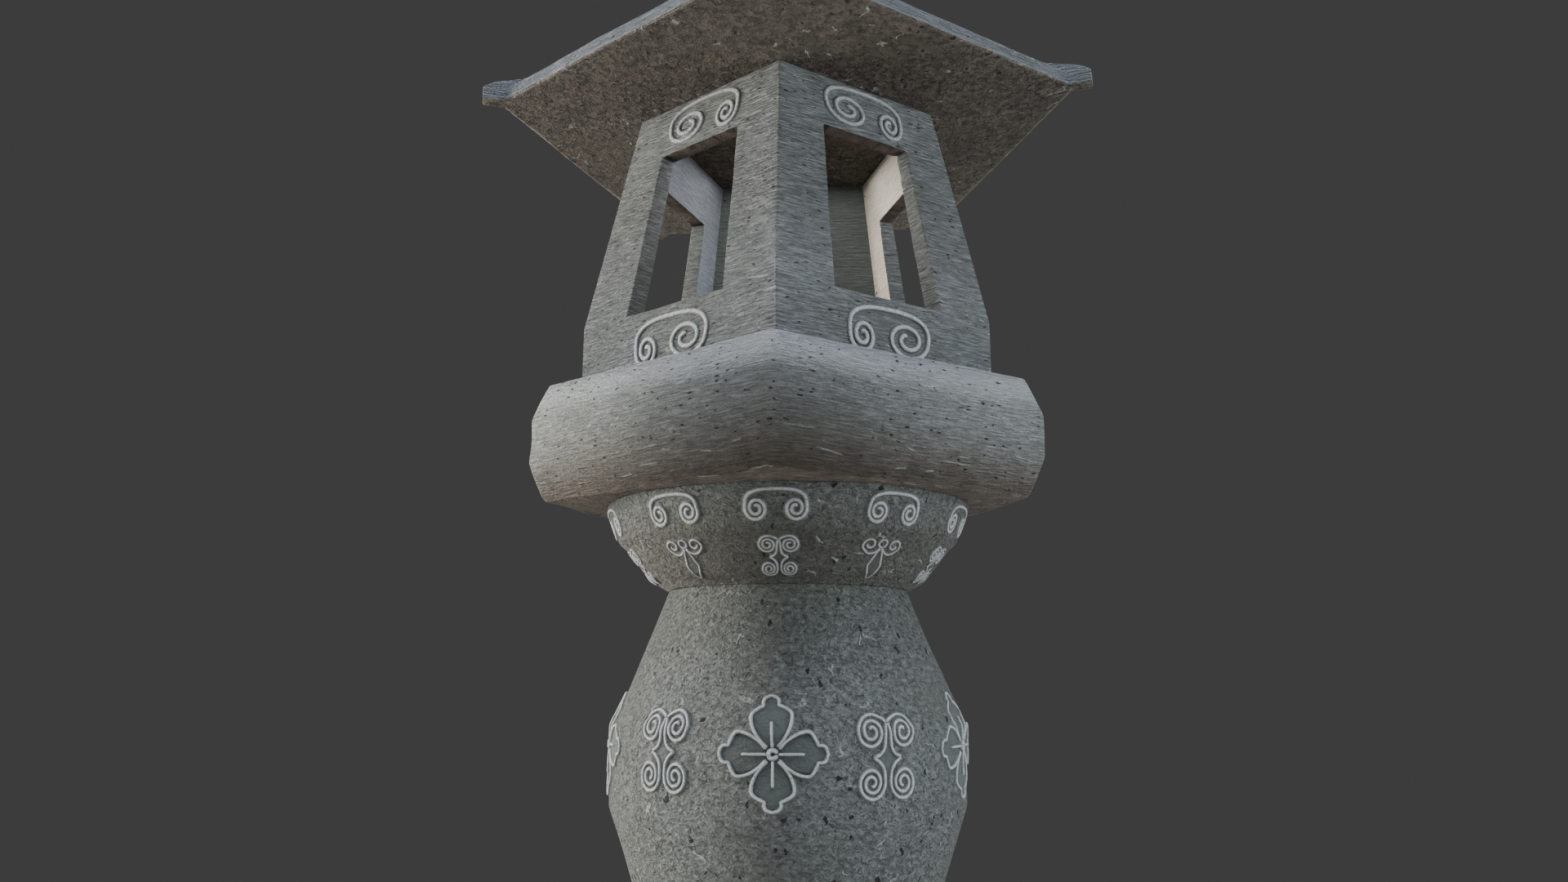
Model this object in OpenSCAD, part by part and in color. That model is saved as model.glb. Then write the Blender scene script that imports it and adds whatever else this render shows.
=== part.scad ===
// Five-sided stone garden lantern, dry stacked on dowels.
// Millimetres. The ground is z = 0, the lantern's axis is the z axis, a corner of every
// five-sided stone points along -Y, and +Z is up.

/* [Plinth] */
// Height of the ground slab
plinth_h = 120; // [60:1:200]
// Corner radius of the slab where its side is widest
plinth_r = 350; // [300:1:420]
// How far the slab draws in at its upper and lower edge, measured at a corner
plinth_draw = 22; // [0:1:40]

/* [Foot] */
// Radius of the foot stone on the plinth
foot_r = 238; // [200:1:280]
// Height of the foot stone
foot_h = 94; // [60:1:140]

/* [Shaft] */
// Radius at the lower joint
shaft_low_r = 142; // [110:0.5:190]
// Greatest radius, along the carved band
shaft_r = 199.3; // [160:0.1:240]
// Height of the carved band
shaft_band_h = 87.1; // [40:0.1:140]
// Radius where the upper slope turns steeper
shaft_shoulder_r = 181.9; // [150:0.1:220]
// Radius at the upper joint
neck_r = 137.9; // [110:0.1:190]

/* [Bowl] */
// Radius of the rim under the platform
bowl_r = 212.8; // [180:0.1:250]
// Height of the bowl stone
bowl_h = 95.9; // [60:0.1:140]

/* [Platform] */
// Height of the platform slab
platform_h = 135.2; // [80:0.1:180]
// Corner radius of the slab where its side is widest
platform_r = 304.2; // [260:0.1:340]
// How far the slab draws in at its upper and lower edge, measured at a corner
platform_draw = 18.8; // [0:0.1:40]

/* [Light box] */
// Corner radius of the upright band under the windows
box_r = 247.4; // [200:0.1:290]
// Corner radius under the roof
box_top_r = 187; // [150:0.1:240]
// Height of the upright band
box_band_h = 71.3; // [40:0.1:100]
// Height of the leaning part of the walls
box_lean_h = 273.2; // [200:0.1:340]
// Wall thickness in the band, measured level
wall_low = 25.6; // [12:0.1:40]
// Wall thickness under the roof, measured level
wall_top = 16.2; // [10:0.1:30]

/* [Windows] */
// Width at the sill
window_low_w = 146; // [80:1:170]
// Width at the lintel
window_top_w = 118; // [60:1:150]
// Depth of the sill below the line where the walls start to lean
sill_drop = 2; // [0:0.5:20]
// Height of each window
window_h = 206.7; // [120:0.1:240]
// How much each side of the back wall's window stands in from the others
back_window_in = 6; // [0:0.5:20]

/* [Roof] */
// Corner radius of the eave, before the ears
roof_r = 359.3; // [300:0.1:420]
// Height of the upright face of the eave
eave_h = 14.8; // [8:0.1:40]
// Height of the roof stone
roof_h = 164; // [100:1:240]
// Corner radius of the flat top under the finial
roof_top_r = 74; // [50:1:110]
// Slope of the hips at the eave, in degrees
hip_low_slope = 15; // [5:0.5:30]
// Width of the raised hips and of their ears
hip_w = 18; // [10:0.5:30]
// How far the hips stand above the roof's faces
hip_rise = 9; // [4:0.5:20]
// Reach of the ears past the corner of the eave
ear_reach = 18.5; // [5:0.5:40]

/* [Finial] */
// Greatest radius of the jewel
jewel_r = 62; // [40:1:90]
// Height of the finial stone
finial_h = 196; // [120:1:260]

/* [Dowels] */
// Radius of the iron dowels between the stones
dowel_r = 15; // [8:0.5:25]
// How far a dowel stands above its stone
dowel_up = 40; // [20:1:60]
// Depth of a dowel in its stone
dowel_down = 45; // [20:1:60]
// Room around a dowel in the stone that is lifted off it
dowel_room = 1.5; // [0.5:0.1:4]
// Radius of the small pins in the edges of the walls
pin_r = 3.5; // [2:0.1:5]
// Room around a small pin in the stone that is lifted off it
pin_room = 0.8; // [0.3:0.1:2]

/* [Lamp] */
// Radius of the pan
pan_r = 58; // [40:1:65]
// Radius of the candle
candle_r = 25; // [15:1:35]
// Height of the candle
candle_h = 78; // [40:1:100]

/* [Hidden] */
sides = 5;
step_a = 360 / sides;
facing = cos(180 / sides);      // face distance of a five-sided prism over its corner radius
over = 20;                      // how far a cutting shape runs past what it cuts
bed = 0.06;                     // gap at every dry joint, so that stones rest without cutting in
mitre_gap = 0.1;                // how far each mitre stands back from the corner's plane
turned_fn = 96;
small_fn = 32;

plinth_top = plinth_h;
foot_top = plinth_top + foot_h;
shaft_top = 611.4;
bowl_top = shaft_top + bowl_h;
platform_top = bowl_top + platform_h;
band_top = platform_top + box_band_h;
box_top = band_top + box_lean_h;
roof_low = box_top + bed;
roof_top = box_top + roof_h;
sill_z = band_top - sill_drop;

band_low_z = 377.4;             // carved band of the shaft
shoulder_z = 502.3;

box_in = box_r * facing - wall_low;         // inner face distances of the walls
box_top_in = box_top_r * facing - wall_top;

pin_below = 22;                 // small pins: depth in their stone and height above it
pin_above = 12;
sill_pin_side = 62;             // from the middle of a wall to each pin under it
sill_pin_at = (box_r * facing + box_in) / 2;
head_pin_at = (box_top_r * facing + box_top_in) / 2;

cramp_leg = 30;                 // bronze cramps across the corners of the walls
cramp_w = 5;
cramp_t = 4;
cramp_tail = 12;
cramp_room = 0.3;

pan_floor = 4;
pan_rim_h = 16;
pan_wall = 3;
spike_r = 2.5;
spike_h = 34;
spike_hole_r = 3.2;
wick_r = 1.2;
wick_up = 11;
wick_down = 12;

// ---- shapes shared by several stones ----

// A five-sided stone with a corner towards -Y, from its outline of [corner radius, height],
// listed from the underside to the top.
module five_sided(outline) {
    last = len(outline) - 1;
    points = [for (p = outline, k = [0 : sides - 1])
        [p[0] * sin(step_a * k), -p[0] * cos(step_a * k), p[1]]];
    belts = [for (i = [0 : last - 1], k = [0 : sides - 1]) let (n = (k + 1) % sides)
        [i * sides + k, (i + 1) * sides + k, (i + 1) * sides + n, i * sides + n]];
    underside = [for (k = [0 : sides - 1]) k];
    top = [for (k = [sides - 1 : -1 : 0]) last * sides + k];
    polyhedron(points, concat([underside, top], belts));
}

// A round, turned stone from its outline of [radius, height].
module turned(outline) {
    rotate_extrude($fn = turned_fn) polygon(outline);
}

// Places its children on every face or every corner, which start at -Y and go round the axis.
module on_faces() {
    for (i = [0 : sides - 1]) rotate([0, 0, step_a * (i + 0.5)]) children();
}
module on_corners() {
    for (i = [0 : sides - 1]) rotate([0, 0, step_a * i]) children();
}

module dowel(top, r = dowel_r, down = dowel_down, up = dowel_up) {
    translate([0, 0, top - down]) cylinder(r = r, h = down + up, $fn = small_fn);
}
// The hole for a dowel in the stone that carries it, and in the stone that stands on it.
module dowel_seat(top) {
    dowel(top, dowel_r, dowel_down, over);
}
module dowel_socket(bottom) {
    dowel(bottom, dowel_r + dowel_room, over, dowel_up + 4);
}

// ---- stones below the light box ----

module plinth() {
    low = plinth_r - plinth_draw;
    color("#7d807a") difference() {
        five_sided([[low, 0], [plinth_r, plinth_h * 0.3], [plinth_r, plinth_h * 0.7], [low, plinth_h]]);
        dowel_seat(plinth_top);
    }
}

module foot() {
    color("#7d807a") difference() {
        translate([0, 0, plinth_top])
            turned([[0, bed], [foot_r, bed], [foot_r * 0.93, foot_h * 0.36], [foot_r * 0.885, foot_h * 0.46],
                    [foot_r * 0.74, foot_h * 0.82], [shaft_low_r * 1.04, foot_h * 0.93],
                    [shaft_low_r, foot_h], [0, foot_h]]);
        dowel_socket(plinth_top);
        dowel_seat(foot_top);
    }
}

module shaft() {
    color("#767b77") difference() {
        turned([[0, foot_top + bed], [shaft_low_r, foot_top + bed], [shaft_r, band_low_z],
                [shaft_r, band_low_z + shaft_band_h], [shaft_shoulder_r, shoulder_z],
                [neck_r, shaft_top], [0, shaft_top]]);
        dowel_socket(foot_top);
        dowel_seat(shaft_top);
    }
}

module bowl() {
    color("#767b77") difference() {
        translate([0, 0, shaft_top])
            turned([[0, bed], [neck_r, bed], [bowl_r * 0.748, bowl_h * 0.114], [bowl_r * 0.878, bowl_h * 0.48],
                    [bowl_r * 0.922, bowl_h * 0.566], [bowl_r, bowl_h], [0, bowl_h]]);
        dowel_socket(shaft_top);
        dowel_seat(bowl_top);
    }
}

module platform() {
    low = platform_r - platform_draw;
    color("#80837e") difference() {
        translate([0, 0, bowl_top])
            five_sided([[low, bed], [platform_r, platform_h * 0.324],
                        [platform_r, platform_h * 0.679], [low, platform_h]]);
        dowel_socket(bowl_top);
        sill_pins(over);
    }
}

// ---- light box: five slabs of stone, mitred at the corners ----

// The wall whose outer face looks along -Y: its section is drawn square to the face, and two
// upright planes through the axis cut the mitres.
module wall_slab(jamb_in = 0) {
    reach = box_r * 1.2;
    low = platform_top + bed;
    section = [[box_in, low], [box_r * facing, low], [box_r * facing, band_top],
               [box_top_r * facing, box_top], [box_top_in, box_top], [box_in, band_top]];
    half = step_a / 2;
    difference() {
        intersection() {
            rotate([90, 0, -90]) translate([0, 0, -reach]) linear_extrude(2 * reach) polygon(section);
            translate([0, 0, platform_top - over]) linear_extrude(box_top - platform_top + 2 * over)
                polygon([[0, -mitre_gap], [-reach * sin(half), -reach * cos(half) - mitre_gap],
                         [reach * sin(half), -reach * cos(half) - mitre_gap]]);
        }
        window_cut(jamb_in);
        sill_pin_pair(pin_r + pin_room, pin_above + 3);
        head_pin(pin_r, over);
        for (s = [-0.5, 0.5]) rotate([0, 0, s * step_a]) cramp(over, cramp_room);
    }
}

module window_cut(jamb_in) {
    low = window_low_w / 2 - jamb_in;
    top = window_top_w / 2 - jamb_in;
    rotate([90, 0, 0]) linear_extrude(box_r)
        polygon([[-low, sill_z], [low, sill_z], [top, sill_z + window_h], [-top, sill_z + window_h]]);
}

// A wall in its place: 0 and 4 stand either side of the front corner, 2 is the back wall.
module wall(i) {
    color("#868984") rotate([0, 0, step_a * (i + 0.5)]) wall_slab(i == 2 ? back_window_in : 0);
}
module wall_right_front() { wall(0); }
module wall_right_rear() { wall(1); }
module wall_back() { wall(2); }
module wall_left_rear() { wall(3); }
module wall_left_front() { wall(4); }

// Pins under the wall that faces -Y, standing in the platform.
module sill_pin_pair(r, up) {
    for (s = [-1, 1]) translate([s * sill_pin_side, -sill_pin_at, platform_top - pin_below])
        cylinder(r = r, h = pin_below + up, $fn = small_fn);
}
module sill_pins(up = pin_above) {
    color("#8f7a4e") on_faces() sill_pin_pair(pin_r, up);
}

// A pin in the top edge of the wall that faces -Y, standing into the roof.
module head_pin(r, up) {
    translate([0, -head_pin_at, box_top - pin_below]) cylinder(r = r, h = pin_below + up, $fn = small_fn);
}
module head_pins() {
    color("#8f7a4e") on_faces() head_pin(pin_r, pin_above);
}

// A bent cramp let into the top edges of two walls at the corner towards -Y. For the recess,
// proud lifts its top past the edge, and room widens it.
module cramp(proud = 0, room = 0) {
    w = cramp_w + 2 * room;
    translate([0, -head_pin_at / facing, box_top - cramp_t - room]) {
        cylinder(r = w / 2, h = cramp_t + room + proud, $fn = small_fn);
        for (s = [-1, 1]) rotate([0, 0, s * (90 - step_a / 2)]) {
            translate([-w / 2, 0, 0]) cube([w, cramp_leg + room, cramp_t + room + proud]);
            translate([-w / 2, cramp_leg - cramp_t - room, cramp_t - cramp_tail])
                cube([w, cramp_t + 2 * room, cramp_tail + room + proud]);
        }
    }
}
module corner_cramps() {
    color("#8f7a4e") on_corners() cramp();
}

// ---- roof ----

// Height of the roof's faces above its underside at a corner radius: the slope grows steadily
// from the eave to the top.
roof_run = roof_r - roof_top_r;
hip_gain = (roof_h - eave_h - roof_run * tan(hip_low_slope)) / (roof_run * roof_run);
function hip_z(r) = eave_h + (roof_r - r) * tan(hip_low_slope) + hip_gain * (roof_r - r) * (roof_r - r);
hip_steps = 8;
hip_line = [for (i = [0 : hip_steps]) let (r = roof_r - roof_run * i / hip_steps) [r, hip_z(r)]];

module roof() {
    color("#7a7d78") difference() {
        translate([0, 0, roof_low]) {
            five_sided(concat([[roof_r, 0]], hip_line));
            on_corners() hip();
        }
        on_faces() head_pin(pin_r + pin_room, pin_above + 3);
        dowel_seat(roof_top);
    }
}

// A raised hip that runs down the corner towards -Y and ends past the eave in an ear.
module hip() {
    tip = roof_r + ear_reach;
    back = roof_top_r * 0.9;
    crest = [for (p = hip_line) if (p[0] < roof_r - 30) [p[0], p[1] + hip_rise]];
    rotate([90, 0, -90]) translate([0, 0, -hip_w / 2]) linear_extrude(hip_w)
        polygon(concat([[back, 1], [tip, 0], [tip - 0.4, eave_h + 0.8], [tip - 13, eave_h + 8.1],
                        [roof_r - 24, eave_h + 16.4]], crest, [[back, roof_h - 1]]));
}

// ---- finial: ring, waist and jewel cut from one stone ----

module finial() {
    ring_r = jewel_r * 1.06;
    waist_r = jewel_r * 0.58;
    jewel_low = finial_h * 0.36;
    jewel_mid = finial_h * 0.56;
    lower = [for (a = [-60 : 15 : 0]) [jewel_r * cos(a), jewel_mid + (jewel_mid - jewel_low) * sin(a) / sin(60)]];
    upper = [for (t = [0.1 : 0.1 : 1])
        [jewel_r * (1 - t) * (1 + 0.9 * t * (1 - t)) * (1 + 0.55 * t * (1 - t)) + 1.5 * t,
         jewel_mid + (finial_h - jewel_mid) * (0.75 * t + 0.25 * t * t)]];
    color("#7d807a") difference() {
        translate([0, 0, roof_top])
            turned(concat([[0, 2 * bed], [waist_r * 1.5, 2 * bed], [waist_r * 1.5, finial_h * 0.05],
                           [waist_r, finial_h * 0.1], [waist_r, finial_h * 0.14],
                           [ring_r * 0.86, finial_h * 0.21], [ring_r, finial_h * 0.29],
                           [ring_r * 0.92, finial_h * 0.325], [jewel_r * 0.5, finial_h * 0.33]],
                          lower, upper, [[0, finial_h]]));
        dowel_socket(roof_top);
    }
}

// ---- iron dowels, each set in the stone it is named after ----

module plinth_dowel() { color("#4c4642") dowel(plinth_top); }
module foot_dowel() { color("#4c4642") dowel(foot_top); }
module shaft_dowel() { color("#4c4642") dowel(shaft_top); }
module bowl_dowel() { color("#4c4642") dowel(bowl_top); }
module roof_dowel() { color("#4c4642") dowel(roof_top); }

// ---- lamp on the platform ----

module lamp_pan() {
    color("#5a4a3a") translate([0, 0, platform_top + bed]) {
        rotate_extrude($fn = turned_fn)
            polygon([[0, 0], [pan_r * 0.8, 0], [pan_r, pan_rim_h], [pan_r - pan_wall, pan_rim_h],
                     [pan_r * 0.8 - pan_wall / 2, pan_floor], [0, pan_floor]]);
        cylinder(r = spike_r, h = spike_h, $fn = small_fn);
    }
}

module candle() {
    base = platform_top + pan_floor + 2 * bed;
    color("#d9cfb4") difference() {
        translate([0, 0, base]) cylinder(r = candle_r, h = candle_h, $fn = turned_fn);
        translate([0, 0, base - 1]) cylinder(r = spike_hole_r, h = spike_h + 1, $fn = small_fn);
        wick_rod(wick_down, over);
    }
}

module wick_rod(down, up) {
    translate([0, 0, platform_top + pan_floor + candle_h - down]) cylinder(r = wick_r, h = down + up, $fn = small_fn);
}
module wick() {
    color("#3a342e") wick_rod(wick_down, wick_up);
}

// ---- assembly ----

plinth();
foot();
shaft();
bowl();
platform();
wall_left_front();
wall_right_front();
wall_right_rear();
wall_back();
wall_left_rear();
corner_cramps();
head_pins();
sill_pins();
roof();
finial();
plinth_dowel();
foot_dowel();
shaft_dowel();
bowl_dowel();
roof_dowel();
lamp_pan();
candle();
wick();
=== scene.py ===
"""Looks of the five-sided stone garden lantern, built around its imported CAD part.

Every stone is rebuilt as one finely divided mesh with rounded arrises and small dents, the
carvings are beads and smooth fields that stand out of the stone, and all materials are
procedural. Metres, in the part's own frame: the ground is z = 0, the lantern's axis is the
z axis and a corner of every five-sided stone points along -Y.
"""

import math

import bmesh
import bpy
import numpy as np
from mathutils import Matrix, Vector


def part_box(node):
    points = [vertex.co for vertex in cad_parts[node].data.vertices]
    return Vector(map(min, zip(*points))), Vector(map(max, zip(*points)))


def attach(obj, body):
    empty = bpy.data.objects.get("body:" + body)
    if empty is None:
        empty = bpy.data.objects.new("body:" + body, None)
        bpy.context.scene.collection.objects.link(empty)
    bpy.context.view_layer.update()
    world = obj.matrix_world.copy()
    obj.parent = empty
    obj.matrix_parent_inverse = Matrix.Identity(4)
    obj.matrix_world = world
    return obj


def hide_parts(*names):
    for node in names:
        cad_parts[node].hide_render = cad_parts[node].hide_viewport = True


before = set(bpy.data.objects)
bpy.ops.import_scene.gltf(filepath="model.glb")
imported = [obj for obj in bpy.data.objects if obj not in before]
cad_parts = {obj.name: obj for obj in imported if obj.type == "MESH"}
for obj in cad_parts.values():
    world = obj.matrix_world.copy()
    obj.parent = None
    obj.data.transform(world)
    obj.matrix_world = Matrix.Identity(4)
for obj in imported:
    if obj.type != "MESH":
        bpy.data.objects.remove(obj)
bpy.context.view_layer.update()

MM = 0.001
SIDES = 5
SIDE_TURN = 2 * math.pi / SIDES
FACING = math.cos(math.pi / SIDES)  # face distance of a pentagon over its corner radius
FRONT = -math.pi / 2  # direction of the front corner
WOBBLE = 0.45 * MM  # unevenness of a stone's skin
STONE, BEADS, FIELDS, EXTRA = range(4)  # a piece's material slots


# ---------------------------------------------------------------- points and outlines


def outline_of(node, shares):
    """Outline of a stone in metres, from shares of its CAD node's radius and height."""
    low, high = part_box(node)
    return [(r * -low.y, low.z + h * (high.z - low.z)) for r, h in shares]


def unit(vectors):
    return vectors / np.maximum(np.linalg.norm(vectors, axis=-1, keepdims=True), 1e-12)


def run_of(line):
    """How far along a line each of its points lies."""
    return np.concatenate([[0], np.cumsum(np.hypot(*np.diff(line[:, :2], axis=0).T))])


def sampled(at, along, line):
    """The places at these distances along a line whose own points lie at along."""
    return np.stack([np.interp(at, along, line[:, k]) for k in (0, 1)], -1)


def polar(radius, angle, height):
    """Points from their distance from the axis, direction about it and height."""
    return np.stack(np.broadcast_arrays(radius * np.cos(angle), radius * np.sin(angle), height), -1)


def rounded(outline, reach, spacing=4 * MM, turn=5):
    """The outline with each inner corner rounded; reach is how far a rounding starts from its
    corner, as one number or one for each inner corner. Straight stretches get extra points."""
    corners = [np.array(p, float) for p in outline]
    line = [corners[0]]
    t = np.linspace(0, 1, turn + 1)[:, None]
    for before, here, after, far in zip(corners, corners[1:], corners[2:],
                                        np.broadcast_to(reach, len(corners) - 2)):
        start, end = (here + (other - here) * min(0.48, far / np.linalg.norm(other - here))
                      for other in (before, after))
        line += list((1 - t) ** 2 * start + 2 * t * (1 - t) * here + t * t * end)
    line.append(corners[-1])
    points = [line[0]]
    for a, b in zip(line, line[1:]):
        steps = max(1, round(np.linalg.norm(b - a) / spacing))
        points += [a + (b - a) * k / steps for k in range(1, steps + 1)]
    return np.array(points)


def wobble(points, seed, size=WOBBLE, shortest=0.05, longest=0.25):
    """A smooth, uneven height for every point, the same at the same place every run."""
    rng = np.random.default_rng(seed)
    total = np.zeros(points.shape[:-1])
    waves = 16
    for _ in range(waves):
        direction = unit(rng.normal(size=3))
        length = rng.uniform(shortest, longest)
        total += np.sin(points @ direction * (2 * math.pi / length) + rng.uniform(0, 2 * math.pi))
    return total * size / math.sqrt(waves / 2)


def pushed(points, normals, height):
    return points + normals * np.asarray(height)[..., None]


def outward(rings):
    """Unit normals of a closed tube of (rows, columns) points that runs up the outside."""
    return -unit(np.cross(np.gradient(rings, axis=0), np.roll(rings, -1, 1) - np.roll(rings, 1, 1)))


def dented(points, normals, seed, count, size, where):
    """Points with small knocks taken out of the stone: where picks the points that a knock may
    be centred on, and size is the range of its radius."""
    rng = np.random.default_rng(seed)
    flat, push = points.reshape(-1, 3), normals.reshape(-1, 3)
    moved = flat.copy()
    for at in rng.choice(np.flatnonzero(where), count):
        reach = rng.uniform(*size)
        stretch = np.array([1, 1, rng.uniform(0.8, 1.6)])
        near = np.linalg.norm((flat - flat[at]) * stretch, axis=1) / reach
        depth = np.clip(1 - near**2, 0, 1) * reach * rng.uniform(0.25, 0.45)
        moved -= push * depth[:, None]
    return moved.reshape(points.shape)


# ---------------------------------------------------------------- building meshes


class Piece:
    """Points and faces gathered into one mesh, with a painted light value at each point (high for a
    painted highlight, low for painted shade), a flat chart of the surface in metres, and a material
    for each face."""

    def __init__(self):
        self.points, self.worn, self.faces, self.kinds, self.chart = [], [], [], [], []

    def add_points(self, points, worn):
        first = sum(len(part) for part in self.points)
        self.points.append(points.reshape(-1, 3))
        self.worn.append(np.broadcast_to(worn, points.shape[:-1]).reshape(-1))
        return first

    def tube(self, rings, worn=0.5, kind=STONE, chart=None):
        """Adds a closed tube through rings of (rows, columns) points, with flat ends."""
        rows, cols = rings.shape[:2]
        at = self.add_points(rings, worn) + np.arange(rows * cols).reshape(rows, cols)
        at = np.hstack([at, at[:, :1]])
        if chart is None:
            chart = np.zeros(at.shape + (2,))
        quads, spots = (np.stack([a[:-1, :-1], a[1:, :-1], a[1:, 1:], a[:-1, 1:]], 2)
                        for a in (at, chart))
        faces = quads.reshape(-1, 4).tolist() + [at[0, :-1].tolist(), at[-1, :-1].tolist()]
        self.faces += faces
        self.chart += [spots.reshape(-1, 2), np.zeros((2 * cols, 2))]
        self.kinds += [kind] * len(faces)

    def solid(self, mesh):
        """Adds a wall cut and bevelled by Blender, with the extra material towards +Y."""
        points = np.array([v.co for v in mesh.vertices])
        first = self.add_points(points, 0.5)
        for face in mesh.polygons:
            self.faces.append([first + i for i in face.vertices])
            self.chart.append(points[list(face.vertices)][:, [0, 2]])
            self.kinds.append(EXTRA if face.normal.y > 0.7 else STONE)

    def finish(self, name, body, node, slot, materials):
        """Makes the object, parents it to the empty of the body that it rides on, and hides the CAD
        node that it stands for.
        """
        mesh = bpy.data.meshes.new(name)
        mesh.from_pydata(np.concatenate(self.points).tolist(), [], self.faces)
        mesh.attributes.new("worn", "FLOAT", "POINT").data.foreach_set(
            "value", np.concatenate(self.worn).astype(np.float32))
        mesh.uv_layers.new(name="chart").data.foreach_set(
            "uv", np.concatenate(self.chart).astype(np.float32).reshape(-1))
        for material in materials:
            mesh.materials.append(material)
        mesh.polygons.foreach_set("material_index", self.kinds)
        work = bmesh.new()
        work.from_mesh(mesh)
        bmesh.ops.recalc_face_normals(work, faces=work.faces)
        work.to_mesh(mesh)
        work.free()
        mesh.shade_smooth()
        mesh.set_sharp_from_angle(angle=math.radians(38))
        made = bpy.data.objects.new(name, mesh)
        bpy.context.scene.collection.objects.link(made)
        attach(made, body)
        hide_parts(node)
        return made


def ring_shape(columns, arc):
    """A five-sided ring of corner radius 1 with a corner at the front: the angle of each column
    from the front, with more columns close to the corners, and how far out it lies. arc is the
    radius of the corners' rounding."""
    turns = np.arange(columns) / (columns // SIDES)
    angles = (turns - 0.13 * np.sin(2 * math.pi * turns)) * SIDE_TURN
    from_corner = np.minimum(angles % SIDE_TURN, -angles % SIDE_TURN)
    flat = FACING / np.cos(SIDE_TURN / 2 - from_corner)
    centre = 1 - arc / FACING
    inside = arc**2 - (centre * np.sin(from_corner)) ** 2
    bent = centre * np.cos(from_corner) + np.sqrt(np.maximum(inside, 0))
    touch = np.arctan2(arc * math.sin(math.pi / SIDES), centre + arc * FACING)
    return angles, np.where(from_corner < touch, bent, flat)


def swept(profile, columns, corner=None):
    """A stone's skin from its profile of (radius, height), round or five-sided, and its chart.
    corner is the radius of its upright corners; a five-sided skin turns round towards the axis
    where the profile's third value says so."""
    radius, height = profile[:, :1], profile[:, 1:2]
    if corner is None:
        angles, reach = np.arange(columns) / columns * 2 * math.pi, 1
    else:
        angles, reach = ring_shape(columns, np.minimum(0.6, corner / np.maximum(radius, corner)))
        reach = reach * (1 - profile[:, 2:]) + profile[:, 2:]
    turn = np.append(angles, 2 * math.pi) * radius.max()
    chart = np.stack(np.broadcast_arrays(turn, run_of(profile)[:, None]), -1)
    return polar(radius * reach, angles + FRONT, height), chart


def stone_skin(piece, profile, seed, dents, corner=None, columns=216, size=WOBBLE,
               dent_size=(3, 8), dent_where=None, worn=None):
    """Adds the closed skin of a turned or five-sided stone. The profile runs from the axis
    under the stone, round its outside and back to the axis on top. Level faces stay level,
    so that the stones bed on each other. dent_size is in millimetres, and worn gives
    the painted light along the profile, higher for a painted highlight. Returns how many points the
    skin has."""
    points, chart = swept(profile, columns, corner)
    normals = outward(points)
    climb, spread = np.gradient(profile[:, 1]), np.gradient(profile[:, 0])
    steep = np.abs(climb) / np.maximum(np.hypot(spread, climb), 1e-9)
    free = np.clip(steep * 2, 0, 1)[:, None] * np.ones(columns)
    skin = pushed(points, normals, wobble(points, seed, size) * free)
    where = dent_where(points) if dent_where else free > 0.5
    skin = dented(skin, normals, seed + 1, dents, np.array(dent_size) * MM, where)
    piece.tube(skin, worn(profile)[:, None] if worn else 0.5, STONE, chart)
    return skin.shape[0] * skin.shape[1]


def roll_shading(made, count, outline, tilts, share=0.8, lag=1.0):
    """Softens the light on a stone's skin, its first count points, as if each arris rolled into
    the next: tilts are the directions up or down, in degrees, at the outline's heights. lag
    over 1 keeps more of the two front faces turned to the front."""
    mesh = made.data
    points = np.array([v.co for v in mesh.vertices])[:count]
    normals = np.array([v.normal for v in mesh.vertices])[:count]
    radii, heights = np.array(outline).T
    tilt = np.radians(np.interp(points[:, 2], heights, tilts))
    around = np.angle(np.exp(1j * (np.arctan2(points[:, 1], points[:, 0]) - FRONT)))
    sweep = np.minimum(np.abs(around) / SIDE_TURN, 1)
    around = FRONT + np.where(sweep < 1, np.sign(around) * SIDE_TURN * sweep**lag, around)
    soft = polar(np.cos(tilt), around, np.sin(tilt))
    side = share * np.clip((0.97 - np.abs(normals[:, 2])) / 0.1, 0, 1)[:, None]
    side[np.hypot(points[:, 0], points[:, 1]) < 0.5 * radii.max()] = 0
    custom = np.zeros((len(mesh.vertices), 3))
    custom[:count] = unit(normals * (1 - side) + soft * side)
    mesh.normals_split_custom_set_from_vertices(custom.tolist())


# ---------------------------------------------------------------- carving: strokes on a surface


def round_surface(profile, seed, turn, up):
    """The map from a motif's own millimetres, x right and y up, to a turned stone: turn is the
    motif's direction about the axis and up its middle's distance along the profile."""
    along = run_of(profile)
    step = unit(np.gradient(profile[:, :2], axis=0))
    middle = np.interp(up, along, profile[:, 0])

    def place(x, y):
        radius, height = np.moveaxis(sampled(up + y * MM, along, profile), -1, 0)
        outer, rise = np.moveaxis(sampled(up + y * MM, along, step), -1, 0)
        around = turn + FRONT + x * MM / middle
        point = polar(radius, around, height)
        normal = unit(polar(rise, around, -outer))
        return pushed(point, normal, wobble(point, seed)), normal

    return place


def flat_surface(origin, up):
    """The map from a motif's own millimetres, x along +X, to a flat face."""
    right = np.array([1.0, 0, 0])
    normal = np.cross(right, up)

    def place(x, y):
        point = np.array(origin) + x[..., None] * MM * right + y[..., None] * MM * np.array(up)
        return point, np.broadcast_to(normal, point.shape)

    return place


def bead_section():
    """Cross-section of a carved bead, over its half width and height: a foot on either side,
    painted dark as shade, and a round back painted pale towards its crest as a highlight.
    Columns: across, up, painted light."""
    foot = np.array([(-1.45, 0, 0.5), (-1.12, 0, 0.05)])
    a = np.radians([-90, -62, -33, 0, 33, 62, 90])
    back = np.stack([np.sin(a), np.cos(a), 0.3 + 0.7 * np.cos(a) ** 2], -1)
    return np.concatenate([foot, back, foot[::-1] * (-1, 1, 1)])


BEAD = bead_section()
BEAD_SUNK = 0.7 * MM  # how far a bead's base is under the surface
FOOT_PROUD = 0.12  # millimetres that its foot stands over the surface


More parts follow.
